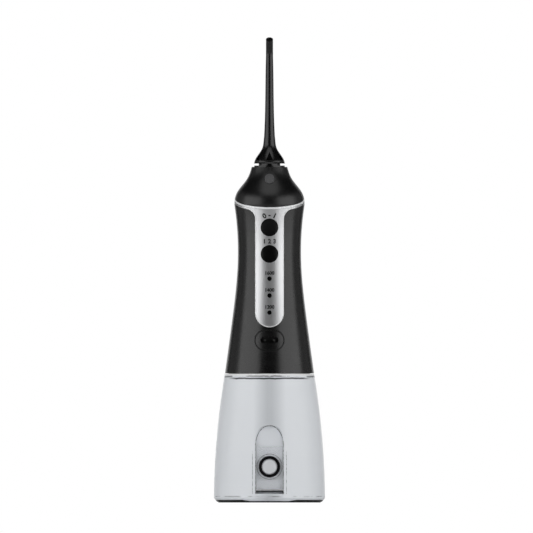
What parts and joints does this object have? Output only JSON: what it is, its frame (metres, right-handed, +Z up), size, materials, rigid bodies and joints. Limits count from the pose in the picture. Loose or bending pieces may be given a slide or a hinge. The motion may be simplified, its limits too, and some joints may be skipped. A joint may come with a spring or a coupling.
{
  "type": "water flosser",
  "caption": "Cordless water flosser: clear water tank with a filling door, waisted grip with a silver key panel, charging inlet, and a turning, pull-off jet nozzle.",
  "frame": {"origin": "centre of the tank's base, on the surface that it stands on", "axes": "+Z up along the body's axis, -Y the front with the keys, +X the right seen from the front"},
  "size_m": [0.0716, 0.0716, 0.3],
  "materials": {
    "clear_plastic": "clear, faintly frosted moulded plastic",
    "black_rubber": "satin moulded silicone",
    "bright_steel": "drawn stainless wire and turned pins",
    "satin_black": "fine satin moulded plastic",
    "gloss_black": "polished moulded plastic",
    "silver_trim": "brushed silver with a bright cut edge",
    "white_resin": "white moulded resin",
    "clear_hose": "soft clear hose",
    "motor_steel": "plated steel",
    "gear_brass": "machined brass",
    "cell_wrap": "shrink-wrapped cell",
    "nickel_tab": "bare nickel strip",
    "board_green": "solder mask",
    "chip_black": "moulded package",
    "lamp_resin": "clear lamp resin"
  },
  "bodies": {
    "tank": {"tank_shell": "clear_plastic", "foot_ring": "black_rubber", "hinge_pin": "bright_steel"},
    "door": {"fill_door": "clear_plastic", "door_seal": "black_rubber"},
    "handle": {"grip_housing": "satin_black", "head_cap": "gloss_black", "trim_ring": "silver_trim", "front_panel": "silver_trim", "base_plate": "white_resin", "tank_seal": "black_rubber", "base_screws": "bright_steel", "suction_tube": "white_resin", "strainer": "white_resin", "valve_block": "white_resin", "inlet_valve": "black_rubber", "outlet_valve": "black_rubber", "pump_cylinder": "white_resin", "delivery_tube": "clear_hose", "motor_cap": "white_resin", "motor_can": "motor_steel", "gear_bracket": "white_resin", "motor_screws": "bright_steel", "gear_axle": "bright_steel", "chassis": "white_resin", "battery_cell": "cell_wrap", "battery_tabs": "nickel_tab", "control_board": "board_green", "board_parts": "chip_black", "tact_switches": "chip_black", "keypad_membrane": "black_rubber", "status_leds": "lamp_resin", "lamp_lens_low": "gloss_black", "lamp_lens_middle": "gloss_black", "lamp_lens_high": "gloss_black", "inlet_bezel": "satin_black", "charging_socket": "satin_black", "charging_pins": "gear_brass", "nozzle_seat": "white_resin", "latch_spring": "bright_steel"},
    "power_key": {"power_button": "gloss_black"},
    "mode_key": {"mode_button": "gloss_black"},
    "release": {"release_button": "gloss_black", "latch_plate": "white_resin"},
    "collar": {"turning_collar": "gloss_black"},
    "nozzle": {"jet_nozzle": "gloss_black", "stem_seal": "black_rubber"},
    "rotor": {"motor_rotor": "motor_steel", "motor_shaft": "bright_steel", "pinion": "gear_brass"},
    "gear": {"drive_gear": "white_resin", "crank_pin": "bright_steel"},
    "pump_piston": {"piston": "white_resin", "piston_seal": "black_rubber", "piston_yoke": "white_resin"}
  },
  "joints": [
    {"name": "handle_lift", "type": "slide", "parent": "tank", "child": "handle", "axis": [0, 0, 1], "range_m": [0, 0.08]},
    {"name": "door_swing", "type": "hinge", "parent": "tank", "child": "door", "pos_m": [0, -0.0332, 0.0079], "axis": [1, 0, 0], "range_deg": [0, 90]},
    {"name": "power_press", "type": "slide", "parent": "handle", "child": "power_key", "axis": [0, 1, 0], "range_m": [0, 0.0006], "stiffness_N_per_m": 1500},
    {"name": "mode_press", "type": "slide", "parent": "handle", "child": "mode_key", "axis": [0, 1, 0], "range_m": [0, 0.0006], "stiffness_N_per_m": 1500},
    {"name": "release_press", "type": "slide", "parent": "handle", "child": "release", "axis": [0, 1, 0], "range_m": [0, 0.0015], "stiffness_N_per_m": 900, "deforming": ["latch_spring"]},
    {"name": "nozzle_turn", "type": "hinge", "parent": "handle", "child": "collar", "pos_m": [0, 0, 0.212], "axis": [0, 0, 1], "continuous": true},
    {"name": "nozzle_pull", "type": "slide", "parent": "collar", "child": "nozzle", "axis": [0, 0, 1], "range_m": [0, 0.024]},
    {"name": "motor_spin", "type": "hinge", "parent": "handle", "child": "rotor", "pos_m": [0.0075, 0, 0.112], "axis": [0, 1, 0], "continuous": true},
    {"name": "gear_spin", "type": "hinge", "parent": "handle", "child": "gear", "pos_m": [-0.004, 0, 0.112], "axis": [0, 1, 0], "continuous": true},
    {"name": "pump_stroke", "type": "slide", "parent": "handle", "child": "pump_piston", "axis": [0, 0, 1], "range_m": [-0.0025, 0.0025]}
  ],
  "couplings": [
    {"joint": "gear_spin", "follows": "motor_spin", "ratio": -0.27778}
  ]
}
